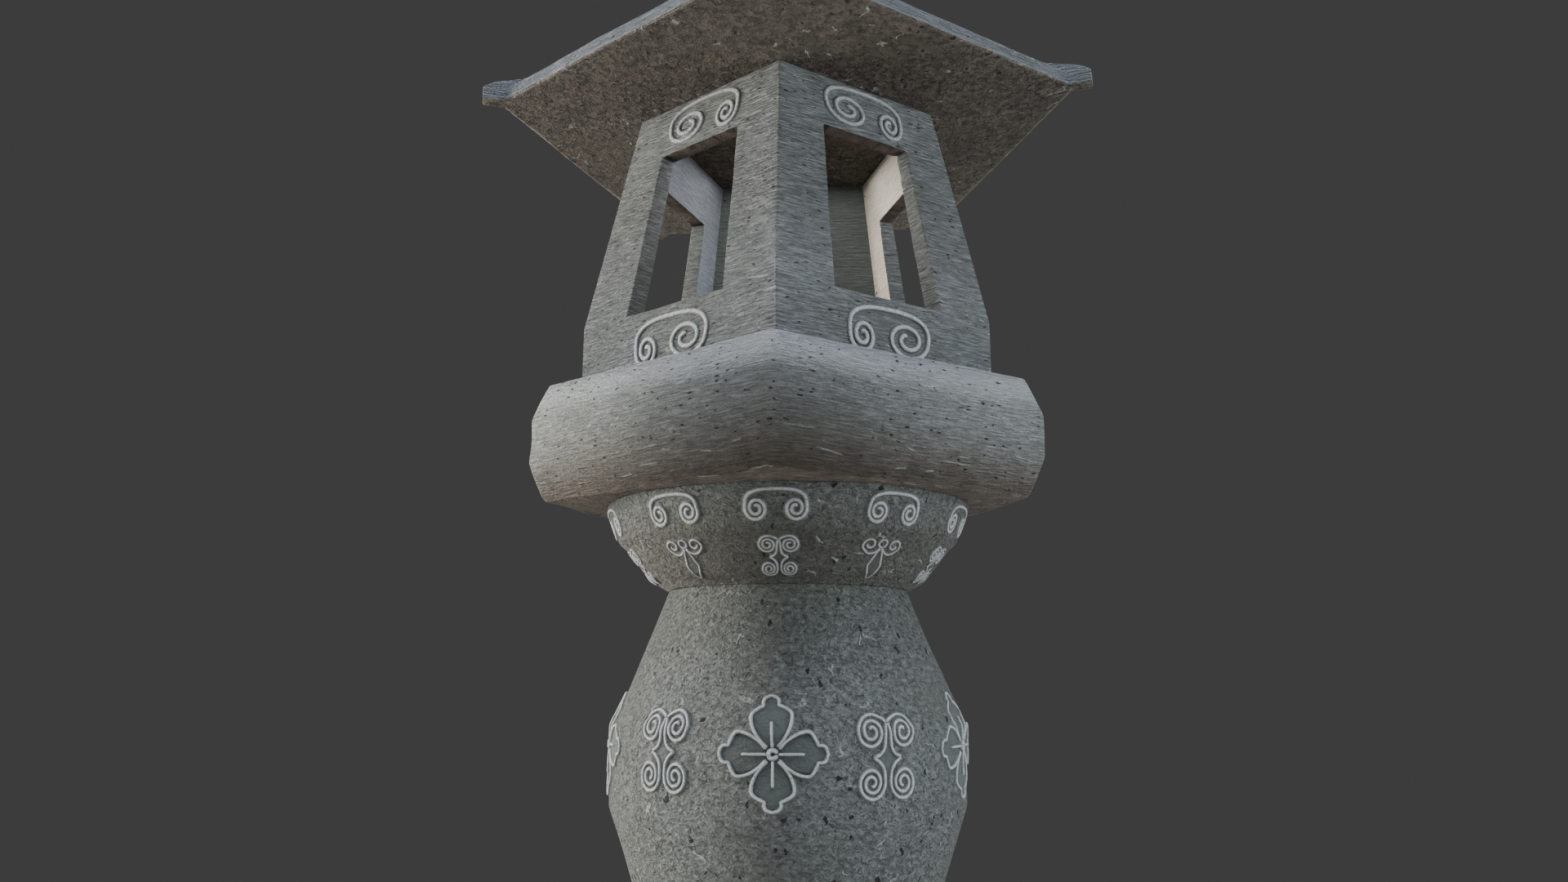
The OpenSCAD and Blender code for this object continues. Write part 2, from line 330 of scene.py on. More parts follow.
def add_bead(piece, place, stroke, width, height, step=1.6):
    """Sweeps a bead of this width and height along a stroke, with round ends."""
    stroke = np.array(stroke, float)
    along = run_of(stroke)
    at = np.linspace(0, along[-1], max(4, int(along[-1] / step)) + 1)
    line = sampled(at, along, stroke)
    across = unit(np.gradient(line, axis=0))[:, ::-1] * (-1, 1)
    end = np.minimum(np.minimum(at, at[-1] - at) / (width / 2), 1)
    swell = np.sqrt(np.clip(1 - (1 - end) ** 2, 0.02, 1))[:, None]
    x, y = (line[:, k, None] + across[:, k, None] * width / 2 * swell * BEAD[:, 0] for k in (0, 1))
    point, normal = place(x, y)
    top = pushed(point, normal, (height * swell * BEAD[:, 1] + FOOT_PROUD) * MM)
    base = pushed(point, normal, -BEAD_SUNK)
    rings = np.concatenate([top, base[:, -1:], base[:, :1]], 1)
    piece.tube(rings, np.append(BEAD[:, 2], [0.5, 0.5]), BEADS)


def add_field(piece, place, left, right, height, rows, crown=0.25):
    """A smooth raised field between two edges that run the same way."""
    share = np.linspace(0, 1, rows)
    at = np.linspace(0, 1, len(left))
    left, right = (sampled(share, at, np.array(edge, float)) for edge in (left, right))
    t = np.linspace(0, 1, 8)
    x, y = (left[:, k, None] * (1 - t) + right[:, k, None] * t for k in (0, 1))
    rise = height + crown * np.sin(math.pi * t) * np.sin(math.pi * share)[:, None]
    point, normal = place(x, y)
    base = pushed(point, normal, -BEAD_SUNK)
    piece.tube(np.concatenate([pushed(point, normal, rise * MM), base[:, ::-1]], 1), kind=FIELDS)


def add_disc(piece, place, x, y, half_width, half_height, rise):
    """A smooth raised disc, such as the ground inside a spiral."""
    share = np.array([1.0, 1.0, 0.8, 0.5, 0.05])[:, None]
    a = np.linspace(0, 2 * math.pi, 28, endpoint=False)
    point, normal = place(x + half_width * share * np.cos(a), y + half_height * share * np.sin(a))
    lift = np.array([-BEAD_SUNK] + [rise * MM] * 4)[:, None]
    piece.tube(pushed(point, normal, lift), kind=FIELDS)


def spiral(centre, start, end, turns, first, way=1, squash=(1, 1)):
    """A spiral from radius start to radius end; first is the direction of its start in
    degrees, and way is 1 for anticlockwise."""
    t = np.linspace(0, 1, int(40 * turns))
    radius = start + (end - start) * t
    angle = math.radians(first) + way * t * turns * 2 * math.pi
    return np.array(centre) + np.array(squash) * polar(radius, angle, 0)[:, :2]


def curve(*points, per=10):
    """A smooth line through the points (Catmull-Rom)."""
    p = np.array([points[0], *points, points[-1]], float)
    p[0], p[-1] = 2 * p[1] - p[2], 2 * p[-2] - p[-3]
    t = np.linspace(0, 1, per, endpoint=False)[:, None]
    parts = [0.5 * (2 * b + (c - a) * t + (2 * a - 5 * b + 4 * c - d) * t**2
                    + (3 * b - a - 3 * c + d) * t**3)
             for a, b, c, d in zip(p, p[1:], p[2:], p[3:])]
    return np.concatenate(parts + [p[-2:-1]])


def mirrored(stroke):
    return np.array(stroke) * (-1, 1)


def both_sides(stroke):
    return stroke, mirrored(stroke)


def double_scroll(width, height, left, right=None):
    """Two spirals hanging from one flat-topped arch, as one stroke. left and right, which are
    alike unless right is given, are (centre's distance from the middle, its depth under the
    top, outer radius, inner radius, turns, squash)."""
    t = np.linspace(math.pi, 0, 60)
    flatness = 2 / 2.8
    arch = np.stack([width / 2 * np.sign(np.cos(t)) * np.abs(np.cos(t)) ** flatness,
                     -height * (1 - np.abs(np.sin(t)) ** flatness)], -1)
    ends = [spiral((-way * out, -deep), outer, inner, turns, 90 + 90 * way, way, squash)
            for way, (out, deep, outer, inner, turns, squash) in ((1, left), (-1, right or left))]
    return np.concatenate([ends[0][::-1], arch[1:-1], ends[1]])


def four_scroll(piece, place, width, height, bead, relief):
    """Four spirals round an hourglass of smooth stone."""
    size = np.array([width / 68, height / 80])
    upper = np.concatenate([curve((0, 31), (7, 35.5), (17, 38.5), (27, 35), (33.5, 25))[:-1],
                            spiral((19, 22.5), 14.5, 2.6, 1.95, 10, -1)])
    middle = curve((1, 31), (2.8, 22), (4.2, 9), (9, 2.5), (17, -0.5))
    lower = np.concatenate([curve((17, -0.5), (9.5, -5), (4.6, -12), (3.2, -22))[:-1],
                            spiral((19, -23), 15.6, 2.6, 2.3, 180, 1)])
    for side in (-1, 1):
        for y in (22.5, -23):
            add_disc(piece, place, *(size * (side * 19, y)), *(size * 15.2), 0.1)
        for stroke in (upper, middle, lower):
            add_bead(piece, place, stroke * (side, 1) * size, bead, relief)
    edge = curve((2, 30), (3.4, 20), (5, 8), (14, 0), (5.5, -8), (3.8, -18), (2.5, -26),
                 (1.5, -34), per=4) * size
    add_field(piece, place, mirrored(edge), edge, 0.3, rows=26)


def petal_half(length, w=20.5):
    """Half a petal's outline from the flower's centre to its tip, the petal pointing up and w
    its half width."""
    return curve((4.4, 6), (0.55 * w, 0.23 * length), (0.86 * w, 0.41 * length),
                 (w, 0.59 * length), (0.94 * w, 0.7 * length), (0.58 * w, 0.79 * length),
                 (0.38 * w, 0.825 * length), (0.4 * w, 0.88 * length),
                 (0.3 * w, 0.96 * length), (0, length), per=6)


def flower(piece, place, bead, relief):
    """Four smooth petals with raised midribs round a dimpled boss."""
    for turn, length in ((3, 57), (90, 53), (180, 53), (270, 53)):
        c, s = math.cos(math.radians(turn)), math.sin(math.radians(turn))
        spin = np.array([[c, s], [-s, c]])
        right, left = (half @ spin for half in both_sides(petal_half(length)))
        add_field(piece, place, left, right, 0.35, rows=30, crown=0.5)
        add_bead(piece, place, np.concatenate([left, right[::-1][1:]]), bead, relief)
        add_bead(piece, place, np.array([(0, 5), (0, 31)]) @ spin, bead * 0.9, relief * 1.3)
    add_bead(piece, place, spiral((0, 0), 3.8, 3.8, 1.02, 0), bead * 1.45, relief * 1.5, step=1.0)


def dragonfly(piece, place, bead, relief):
    """A bud over two curled arms and a long pointed leaf."""
    half = curve((0.8, 14), (3.2, 8), (6.2, -2), (8, -8), (5.8, -15), (2.8, -22), (0, -27), per=6)
    add_field(piece, place, mirrored(half), half, 0.3, rows=20)
    arm = np.concatenate([curve((1, 14), (6.5, 8), (13.5, 7), (20.3, 12))[:-1],
                          spiral((14.4, 17.5), 8.0, 2.4, 1.15, -40, 1)])
    for stroke in both_sides(half) + both_sides(arm):
        add_bead(piece, place, stroke, bead, relief)
    add_bead(piece, place, spiral((0, 19.5), 4.6, 4.6, 1.02, 90), bead, relief, step=1.0)


# ---------------------------------------------------------------- materials


class Nodes:
    """Short calls for building the node tree of one material or world."""

    def __init__(self, owner):
        self.owner = owner
        owner.use_nodes = True
        self.tree = owner.node_tree
        self.shader = self.tree.nodes.get("Principled BSDF")

    def put(self, kind, inputs=None, **settings):
        node = self.tree.nodes.new("ShaderNode" + kind)
        for key, value in settings.items():
            setattr(node, key, value)
        for key, value in (inputs or {}).items():
            self.feed(node.inputs[key], value)
        return node

    def feed(self, socket, value):
        if isinstance(value, bpy.types.Node):
            value = value.outputs[0]
        if isinstance(value, bpy.types.NodeSocket):
            self.tree.links.new(value, socket)
        else:
            socket.default_value = value

    def place(self, *offset):
        """The object's own coordinates, moved by an offset."""
        return self.vector("ADD", self.put("TexCoord").outputs["Object"], offset)

    def times(self, a, b):
        return self.put("Math", {0: a, 1: b}, operation="MULTIPLY").outputs[0]

    def plus(self, a, b):
        return self.put("Math", {0: a, 1: b}, operation="ADD").outputs[0]

    def above(self, a, b):
        """1 where a is over b, else 0."""
        return self.put("Math", {0: a, 1: b}, operation="GREATER_THAN").outputs[0]

    def vector(self, operation, a, b=None):
        """A sum, product or scaling of vectors, or a length or dot product as a number."""
        inputs = {0: a} if b is None else {0: a, "Scale" if operation == "SCALE" else 1: b}
        node = self.put("VectorMath", inputs, operation=operation)
        return node.outputs["Value" if operation in ("LENGTH", "DOT_PRODUCT") else "Vector"]

    def between(self, value, low, high, to_low=0.0, to_high=1.0):
        """Value mapped from one range to another, held at its ends."""
        return self.put("MapRange", {0: value, 1: low, 2: high, 3: to_low, 4: to_high}).outputs[0]

    def mix(self, share, a, b, blend="MIX"):
        node = self.put("Mix", data_type="RGBA", blend_type=blend, clamp_factor=True)
        for socket, value in zip((0, 6, 7), (share, a, b)):
            self.feed(node.inputs[socket], value)
        return node.outputs[2]

    def noise(self, at, scale, detail=3.0, rough=0.55, distort=0.0):
        inputs = {"Vector": at, "Scale": scale, "Detail": detail, "Roughness": rough,
                  "Distortion": distort}
        return self.put("TexNoise", inputs).outputs[0]

    def cells(self, at):
        """A flat grid of irregular cells: its node and three random numbers of each cell."""
        node = self.put("TexVoronoi", {"Vector": at, "Scale": 1.0}, voronoi_dimensions="2D")
        return node, self.put("SeparateColor", {0: node.outputs["Color"]}).outputs

    def stretched(self, at, scale):
        return self.put("Mapping", {"Vector": at, "Scale": scale}).outputs[0]

    def surface(self, body, rough, height, depth, strength=1.0):
        """Finishes the material with a colour, a roughness and a bump."""
        bump = self.put("Bump", {"Strength": strength, "Distance": depth, "Height": height})
        for name, value in (("Base Color", body), ("Roughness", rough), ("Normal", bump)):
            self.feed(self.shader.inputs[name], value)
        return self.owner


def colour(code, factor=(1, 1, 1)):
    """Linear colour from an sRGB code such as 8d8c83, times a factor for each part."""
    parts = [int(code[i : i + 2], 16) / 255 for i in (0, 2, 4)]
    linear = [p / 12.92 if p < 0.04045 else ((p + 0.055) / 1.055) ** 2.4 for p in parts]
    return tuple(p * f for p, f in zip(linear, factor)) + (1,)


def pit_mask(n, chart, streak, pits):
    """Small dark pits, wider than they are tall where the stone is streaked."""
    shape = n.stretched(chart, (78, 78 * (1 + 2.2 * min(streak, 1)), 1))
    bend = n.put("TexNoise", {"Vector": shape, "Scale": 1.7}).outputs[1]
    cell, lot = n.cells(n.vector("ADD", shape, n.vector("MULTIPLY", bend, (0.9, 0.9, 0))))
    rim = n.between(lot[1], 0, 1, 0.08, 0.25)
    return n.times(n.above(lot[0], 1 - 0.075 * pits),
                   n.between(cell.outputs["Distance"], rim, n.times(rim, 0.78)))


def scratch_mask(n, chart, streak, crumb, share):
    """Pale scratches, thin rods through some of a grid's cells: long, straight and nearly level
    where the stone is streaked, else short, bent and in every direction."""
    scale, sway, slant, width = (
        ((17, 44, 1), (0.1, 0.12, 0), 0.8, (0.055, 0.015)) if streak
        else ((46 / crumb, 46 / crumb, 1), (0.8, 0.8, 0), math.pi, (0.065, 0.03)))
    spread = n.stretched(chart, scale)
    bend = n.put("TexNoise", {"Vector": spread, "Scale": 2.6, "Detail": 1.0}).outputs[1]
    bend = n.vector("MULTIPLY", n.vector("SUBTRACT", bend, (0.5, 0.5, 0.5)), sway)
    spread = n.vector("ADD", spread, bend)
    cell, lot = n.cells(spread)
    local = n.vector("SUBTRACT", spread, cell.outputs["Position"])
    angle = n.times(n.plus(lot[0], -0.5), slant)
    heading = n.put("CombineXYZ", {0: n.put("Math", {0: angle}, operation="COSINE"),
                                   1: n.put("Math", {0: angle}, operation="SINE")}).outputs[0]
    run = n.vector("DOT_PRODUCT", local, heading)
    gap = n.vector("LENGTH", n.vector("SUBTRACT", local, n.vector("SCALE", heading, run)))
    length = n.between(lot[1], 0, 1, 0.08, 0.42)
    along = n.put("Math", {0: run}, operation="ABSOLUTE")
    rod = n.times(n.between(gap, *width), n.between(along, length, n.times(length, 0.5)))
    return n.times(rod, n.above(lot[2], share))


def stone(name, base, seed, grain=1.0, streak=0.0, pits=1.0, scratches=1.0, flecks=1.0,
          glints=1.0, crumb=1.0, carved=False, under=0.8, under_colour="e6c8b8",
          under_from=(0.3, 0.9), splashed=None):
    """A dressed, weathered stone. grain is the depth of its tooling and crystals, crumb their
    size, streak how far that runs level, pits and scratches how many there are. under is how
    strongly its undersides are darkened with painted shade in the underside tint. carved is for
    the beads, whose backs are painted pale as a highlight and whose feet are painted dark as shade.
    splashed is the range of heights over which painted shade, darkest at the bottom, fades out."""
    n = Nodes(bpy.data.materials.new(name))
    at = n.place(seed * 0.37, seed * 0.71, 0)
    chart = n.vector("ADD", n.put("UVMap", uv_map="chart").outputs[0],
                     (seed * 0.53, seed * 0.29, 0))
    rough = min(1.0, grain)
    fine = n.noise(at, 620 / crumb, 3, 0.6)
    coarse = n.noise(n.stretched(at, (170, 170, 270)), 1 / crumb, 4, 0.6, 0.6)
    patches = n.noise(at, 34, 4, 0.6)
    stains = n.noise(at, 7, 4, 0.65)
    spots = n.noise(n.stretched(at, (180, 180, 260)), 1 / crumb, 2, 0.7, 0.8)
    spots = n.between(spots, 0.36 + 0.05 * flecks, 0.32 + 0.05 * flecks, 0, rough)
    level = n.noise(n.stretched(at, (50, 50, 600)), 1, 3, 0.6, 0.4)
    hole = pit_mask(n, chart, streak, pits)
    share = n.between(n.noise(at, 11, 2), 0.42, 0.58, 1 - 0.05 * scratches, 1 - 0.3 * scratches)
    line = n.times(scratch_mask(n, chart, streak, crumb, share),
                   n.between(fine, 0.35, 0.6, 0.3, 1))

    # colour: mottled base, dark and pale patches, stains, painted highlights and painted shade,
    # pits and scratches
    tone, dark = colour(base), colour(base, (0.46,) * 3)
    pale = tuple(min(1, c) for c in colour(base, (1.65,) * 3))
    body = n.mix(n.between(patches, 0.3, 0.6, 0.7, 1), dark, tone)
    body = n.mix(n.between(coarse, 0.51, 0.64, 0, 0.85 * rough * glints), body, pale)
    body = n.mix(n.between(coarse, 0.48, 0.37, 0, 0.85 * rough), body, dark)
    body = n.mix(n.between(fine, 0.46, 0.36, 0, 0.6 * rough), body, dark)
    body = n.mix(n.times(spots, 0.75), body, colour("c4c4c0", dark))
    if streak:
        body = n.mix(n.between(level, 0.51, 0.63, 0, 0.85 * streak), body, pale)
        body = n.mix(n.between(level, 0.47, 0.36, 0, 0.85 * streak), body, dark)
    body = n.mix(n.between(stains, 0.42, 0.7, 0, 0.45), body, colour("d9dccb", tone))
    # painted shade: the walls darken towards their foot, evening out the stronger light on the
    # sills against the eaves' shadow on the lintels
    if splashed:
        z = n.put("SeparateXYZ", {0: n.place(0, 0, 0)}).outputs[2]
        body = n.mix(n.between(z, *splashed, 1, 0), body, colour("cecece"), "MULTIPLY")
    worn = n.put("Attribute", attribute_name="worn").outputs["Fac"]
    # painted shade: the beads' feet are darkened along their edges, where shade falls
    if carved:
        body = n.mix(n.between(worn, 0.45, 0.0, 0, 0.85), body, colour("33312c"))
    # painted highlight: bead crests, the platform's top bevel and the eave's chamfer are painted
    # pale
    polish = n.times(n.between(fine, 0.3, 0.6, 0.45, 0.78), n.between(worn, 0.52, 0.95))
    body = n.mix(polish, body, colour("c4c8ca"))
    # painted shade: faces that turn downwards are multiplied by the underside tint and mottled
    # darker brown, standing in for the shade under the stones
    facing_up = n.put("SeparateXYZ", {0: n.put("NewGeometry").outputs["Normal"]}).outputs[2]
    soot = n.between(n.times(facing_up, -1), *under_from, 0, under)
    body = n.mix(soot, body, colour(under_colour), "MULTIPLY")
    body = n.mix(n.times(soot, n.between(patches, 0.52, 0.4, 0, 0.22)), body,
                 colour("9c8b82"), "MULTIPLY")
    body = n.mix(n.times(hole, 0.95), body, colour("1b1917"))
    body = n.mix(n.times(line, 0.9), body, colour("dadcd9"))

    height = n.plus(n.times(coarse, grain), n.times(fine, 0.35 * grain))
    if streak:
        height = n.plus(height, n.times(level, 1.1 * streak))
    for mask, rise in ((spots, -0.12), (hole, -1.2), (line, 0.5)):
        height = n.plus(height, n.times(mask, rise))
    n.shader.inputs["Specular IOR Level"].default_value = 0.35
    return n.surface(body, n.between(coarse, 0.3, 0.7, 0.66, 0.9), height, 14 * MM)


FIELD_TONE = "535956"


def stone_set(name, base, seed, **looks):
    """A stone's own material, its carved beads and its smooth fields."""
    quiet = dict(looks, grain=0.12 * looks.get("grain", 1), streak=0.0)
    return [stone(name, base, seed, **looks),
            stone(name + "_bead", base, seed, **dict(quiet, grain=0.3, pits=0.0, scratches=0.1,
                                                     under=0.5, carved=True)),
            stone(name + "_field", FIELD_TONE, seed, **dict(quiet, pits=0.25, scratches=0.5))]


def metal(name, base, patch, rough, metallic, seed):
    """Bronze or iron: its bare colour broken up by patina or rust."""
    n = Nodes(bpy.data.materials.new(name))
    at = n.place(seed, 0, 0)
    crust = n.noise(at, 120, 6, 0.65, 0.4)
    grains = n.noise(at, 900, 3, 0.6)
    share = n.between(crust, 0.42, 0.6)
    body = n.mix(share, colour(base), colour(patch))
    body = n.mix(n.between(grains, 0.4, 0.7, 0, 0.4), body, colour("1d1a17"))
    n.feed(n.shader.inputs["Metallic"], n.between(share, 0, 1, metallic, metallic * 0.25))
    return n.surface(body, n.between(share, 0, 1, rough, 0.85),
                     n.plus(crust, n.times(grains, 0.4)), 0.6 * MM, 0.5)


def wax_material():
    n = Nodes(bpy.data.materials.new("wax"))
    at = n.place(0, 0, 0)
    cloud = n.noise(at, 45, 4, 0.6)
    body = n.mix(cloud, colour("cdbf9a"), colour("e6dcc0"))
    body = n.mix(n.between(n.noise(at, 600), 0.62, 0.72, 0, 0.25), body, colour("8f8468"))
    n.shader.inputs["Subsurface Weight"].default_value = 0.25
    n.shader.inputs["Subsurface Radius"].default_value = (0.006, 0.004, 0.002)
    n.shader.inputs["Subsurface Scale"].default_value = 1.0
    return n.surface(body, n.between(cloud, 0.3, 0.7, 0.34, 0.5), cloud, 0.5 * MM, 0.2)


def wick_material(top):
    """Cotton, charred black at its top."""
    n = Nodes(bpy.data.materials.new("wick"))
    at = n.place(0, 0, 0)
    char = n.between(n.put("SeparateXYZ", {0: at}).outputs[2], top - 8 * MM, top - 3 * MM)
    fibres = n.noise(n.stretched(at, (1, 1, 0.2)), 4000)
    body = n.mix(char, colour("b9a983"), colour("191614"))
    body = n.mix(n.between(fibres, 0.35, 0.7, 0, 0.5), body, colour("3b322a"))
    return n.surface(body, n.between(fibres, 0.3, 0.7, 0.8, 0.95), fibres, 0.2 * MM, 0.5)


# each look's under values set the painted shade on its undersides
SHAFT_LOOK = stone_set("shaft_stone", "808581", 3, grain=1.6, pits=1.4, scratches=0.8,
                       crumb=1.15, glints=0.85, under=0.85, under_colour="b8a295")
BASE_LOOK = stone_set("base_stone", "858a86", 5, grain=1.2, pits=1.3, scratches=0.8)
PLATFORM_LOOK = stone_set("platform_stone", "909491", 7, grain=0.3, streak=0.7, pits=2.2,
                          scratches=2.5, under=1.0, under_colour="b09c8e",
                          under_from=(0.3, 0.8))
BOX_LOW, BOX_TOP = (corner.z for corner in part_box("wall_back"))
WALL_LOOK = stone_set("wall_stone", "959a99", 11, grain=0.25, streak=1.0, pits=2.2, scratches=1.1,
                      under=1.0, under_colour="8a7468", splashed=(BOX_LOW, BOX_TOP))
# painted light and shade: each wall's inside has its own tone, paler where it is lit through the
# windows and darker where it lies in shade, as lit and shaded copies of one stone
INSIDE_TONES = {"wall_right_front": "c9c6bf", "wall_right_rear": "ece1d3", "wall_back": "666d6b",
                "wall_left_rear": "8d929d", "wall_left_front": "c9c6bf"}
INSIDE_LOOKS = {name: stone(name + "_inside", tone, 12, grain=0.15, streak=0.35, pits=0.2,
                            scratches=0.1, under=0.3) for name, tone in INSIDE_TONES.items()}
ROOF_LOOK = stone_set("roof_stone", "8f928e", 13, grain=1.1, pits=2.6, scratches=1.3, flecks=2.2,
                      glints=0.6, crumb=1.5, under=1.0, under_colour="c4b3a6")
ROOF_LOOK.append(stone("roof_sides", "70767a", 17, grain=0.2, streak=0.8, pits=0.6, under=0.5))
IRON = metal("rusty_iron", "3b3733", "6b3f26", 0.5, 0.8, 2)
BRONZE = metal("bronze", "8a6a3a", "4f6f5c", 0.38, 0.95, 4)


# ---------------------------------------------------------------- stones below the light box

SOCKET_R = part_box("shaft_dowel")[1].x + 1.5 * MM
SOCKET_DEPTH = 44 * MM
ARRIS = 4 * MM


def level_row(r_from, r_to, z):
    """Points along a level face, without its first."""
    count = max(2, int(abs(r_from - r_to) / (14 * MM)))
    return [(r_from + (r_to - r_from) * k / count, z) for k in range(1, count + 1)]


def closed_profile(outside, reach, socket=True, spacing=4 * MM, turn=5):
    """The whole profile of a stone from the axis below to the axis on top, from its outside
    given from its lowest to its highest arris. The third value is how round a ring is."""
    (low_r, low), (high_r, high) = outside[0], outside[-1]
    skin = rounded([(low_r - 3 * ARRIS, low)] + list(outside) + [(high_r - 3 * ARRIS, high)],
                   reach, spacing, turn)
    below = level_row(skin[0][0], SOCKET_R if socket else 2 * MM, low)[::-1]
    if socket:
        below = [(0.4 * MM, low + SOCKET_DEPTH), (SOCKET_R, low + SOCKET_DEPTH),
                 (SOCKET_R, low + ARRIS / 2)] + below
    rows = np.array(below + [tuple(p) for p in skin] + level_row(skin[-1][0], 0.4 * MM, high))
    reach_in = min(low_r, high_r) - 6 * ARRIS
    roundness = np.clip((reach_in - rows[:, 0]) / (reach_in - 2.2 * SOCKET_R), 0, 1)
    return np.column_stack([rows, roundness])


def along_of(profile, height):
    """How far along a profile its outside reaches a height."""
    rising = np.flatnonzero(np.diff(profile[:, 1]) > 1e-7)
    outside = slice(rising[0], rising[-1] + 2)
    return float(np.interp(height, profile[outside, 1], run_of(profile)[outside]))


def begin_stone(shares, node, reach, seed, dents, socket=True, spacing=4, turn=5, **skin):
    """Starts a stone from its outline, as shares of its CAD node, and the reach of its arrises'
    rounding in millimetres. Returns its piece, outline and profile, and its skin's count."""
    piece = Piece()
    outline = outline_of(node, shares)
    profile = closed_profile(outline, np.array(reach) * MM, socket, spacing * MM, turn)
    return piece, outline, profile, stone_skin(piece, profile, seed, dents, **skin)


def plinth():
    shares = [(0.937, 0), (1, 0.3), (1, 0.7), (0.937, 1)]
    piece, *_ = begin_stone(shares, "plinth", [4, 12, 12, 4], 21, 26, socket=False, spacing=7,
                            corner=10 * MM, columns=300, size=0.8 * MM, dent_size=(5, 14))
    piece.finish("plinth_stone", "plinth", "plinth", "stone_base", BASE_LOOK)


def foot():
    """The foot, with a row of double scrolls round its slope."""
    shares = [(1, 0), (0.93, 0.36), (0.885, 0.46), (0.74, 0.82), (0.62, 0.93), (0.597, 1)]
    piece, outline, profile, _ = begin_stone(shares, "foot", [4, 7, 7, 6, 4, 2], 23, 6,
                                             columns=200)
    scroll = double_scroll(66, 14, (21.5, 20, 13.5, 2.6, 1.9, (0.95, 1)))
    for k in range(2 * SIDES):
        place = round_surface(profile, 23, k * SIDE_TURN / 2, along_of(profile, outline[1][1]))
        add_bead(piece, place, scroll * 0.78 + (0, 5), 4.2, 1.6)
    piece.finish("foot_stone", "foot", "foot", "stone_base", BASE_LOOK)


def shaft():
    """The shaft, with flowers at the corners' directions and four scrolls between them."""
    shares = [(0.7125, 0), (1, 0.4113), (1, 0.6304), (0.9127, 0.7255), (0.6919, 1)]
    piece, outline, profile, count = begin_stone(shares, "shaft", [2, 3, 3, 3, 1], 25, 14,
                                                 columns=180)
    low, high = outline[0][1], outline[-1][1]
    band = along_of(profile, low + 0.58 * (high - low))
    # each motif in front has its own turn in degrees, lift in millimetres and width
    nudges = {0: (0.8, 0, 1), 1: (-1.9, -4, 0.97), 9: (2.5, 0.5, 0.89)}
    for k in range(2 * SIDES):
        turn, lift, width = nudges.get(k, (0, 0, 1))
        turn = k * SIDE_TURN / 2 + math.radians(turn - 2.3)
        place = round_surface(profile, 25, turn, band + lift * MM)
        if k % 2 == 0:
            flower(piece, place, 3.8, 2.5)
        else:
            four_scroll(piece, place, 68 * width, 84, 4.0, 2.4)
    made = piece.finish("shaft_stone", "shaft", "shaft", "stone_shaft", SHAFT_LOOK)
    roll_shading(made, count, outline, (-24, -14, -2, 4, -28), lag=0.76)


def bowl():
    """The bowl, with double scrolls under its rim and small motifs in a row below them."""
    shares = [(0.648, 0), (0.748, 0.114), (0.878, 0.48), (0.922, 0.566), (1, 1)]
    piece, outline, profile, count = begin_stone(shares, "bowl", [1, 3, 3, 3, 2], 27, 8,
                                                 spacing=3)
    rim = along_of(profile, outline[-1][1])
    # turns in degrees of the scroll and of the small motif in front
    nudges = {0: (0.4, 0.75), 1: (0.3, 0.4), 9: (4.2, 2.7)}
    scroll = double_scroll(62.5, 15, (20.5, 20, 12, 2.4, 1.9, (0.98, 1.04)))
    for k in range(2 * SIDES):
        upper, lower = (round_surface(profile, 27, k * SIDE_TURN / 2 + math.radians(nudge - 1.1),
                                      rim - drop * MM)
                        for nudge, drop in zip(nudges.get(k, (0, 0)), (8.5, 85)))
        add_bead(piece, upper, scroll, 4.8, 1.9)
        if k % 2 == 0:
            four_scroll(piece, lower, 39, 52, 2.9, 1.2)
        else:
            dragonfly(piece, lower, 2.9, 1.2)
    made = piece.finish("bowl_stone", "bowl", "bowl", "stone_shaft", SHAFT_LOOK)
    roll_shading(made, count, outline, (-28, -44, -42, -34, -14))


def platform():
    low, high = (corner.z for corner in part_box("platform"))

    def top_wear(rows):
        """The bevel round the top is painted pale as a highlight."""
        return 0.5 + 0.36 * np.clip(((rows[:, 1] - low) / (high - low) - 0.72) / 0.22, 0, 1)

    shares = [(0.938, 0), (1, 0.324), (1, 0.679), (0.938, 1)]
    piece, outline, _, count = begin_stone(shares, "platform", [8, 5, 5, 3], 29, 18, spacing=5,
                                           turn=8, corner=8 * MM, columns=300, size=0.7 * MM,
                                           dent_size=(3, 9), worn=top_wear)
    made = piece.finish("platform_stone", "platform", "platform", "stone_box", PLATFORM_LOOK)
    roll_shading(made, count, outline, (-60, -28, -13, 80), share=0.9, lag=1.7)


for build in (plinth, foot, shaft, bowl, platform):
    build()


# ---------------------------------------------------------------- light box

BREAK_Z = BOX_LOW + 0.2068 * (BOX_TOP - BOX_LOW)  # where the walls start to lean in
FACE_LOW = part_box("wall_back")[1].y  # how far the walls' faces are from the axis
FACE_TOP = FACE_LOW * 0.7559
THICK_LOW, THICK_TOP = FACE_LOW * 0.1279, FACE_LOW * 0.0809
SILL_Z, LINTEL_Z = BREAK_Z - 1 * MM, BOX_LOW + 0.8012 * (BOX_TOP - BOX_LOW)
WINDOW_LOW, WINDOW_TOP = 73 * MM, 59 * MM  # half widths of a window
BACK_NARROWER = 6 * MM  # taken off each side of the back window
MITRE = math.tan(math.pi / SIDES)
MITRE_GAP = 0.13 * MM  # between a wall's end and its mitre plane, at right angles to its face
WALL_ARRIS, MITRE_ARRIS = 1.4 * MM, 0.35 * MM
CELL = 7 * MM  # size of the walls' mesh
LEAN_UP = unit(np.array([0, FACE_LOW - FACE_TOP, BOX_TOP - BREAK_Z]))


def lean(z, low, top):
    """A distance at a height: the same up to the break, then turning from low to top."""
    return low + (top - low) * max(0.0, (z - BREAK_Z) / (BOX_TOP - BREAK_Z))


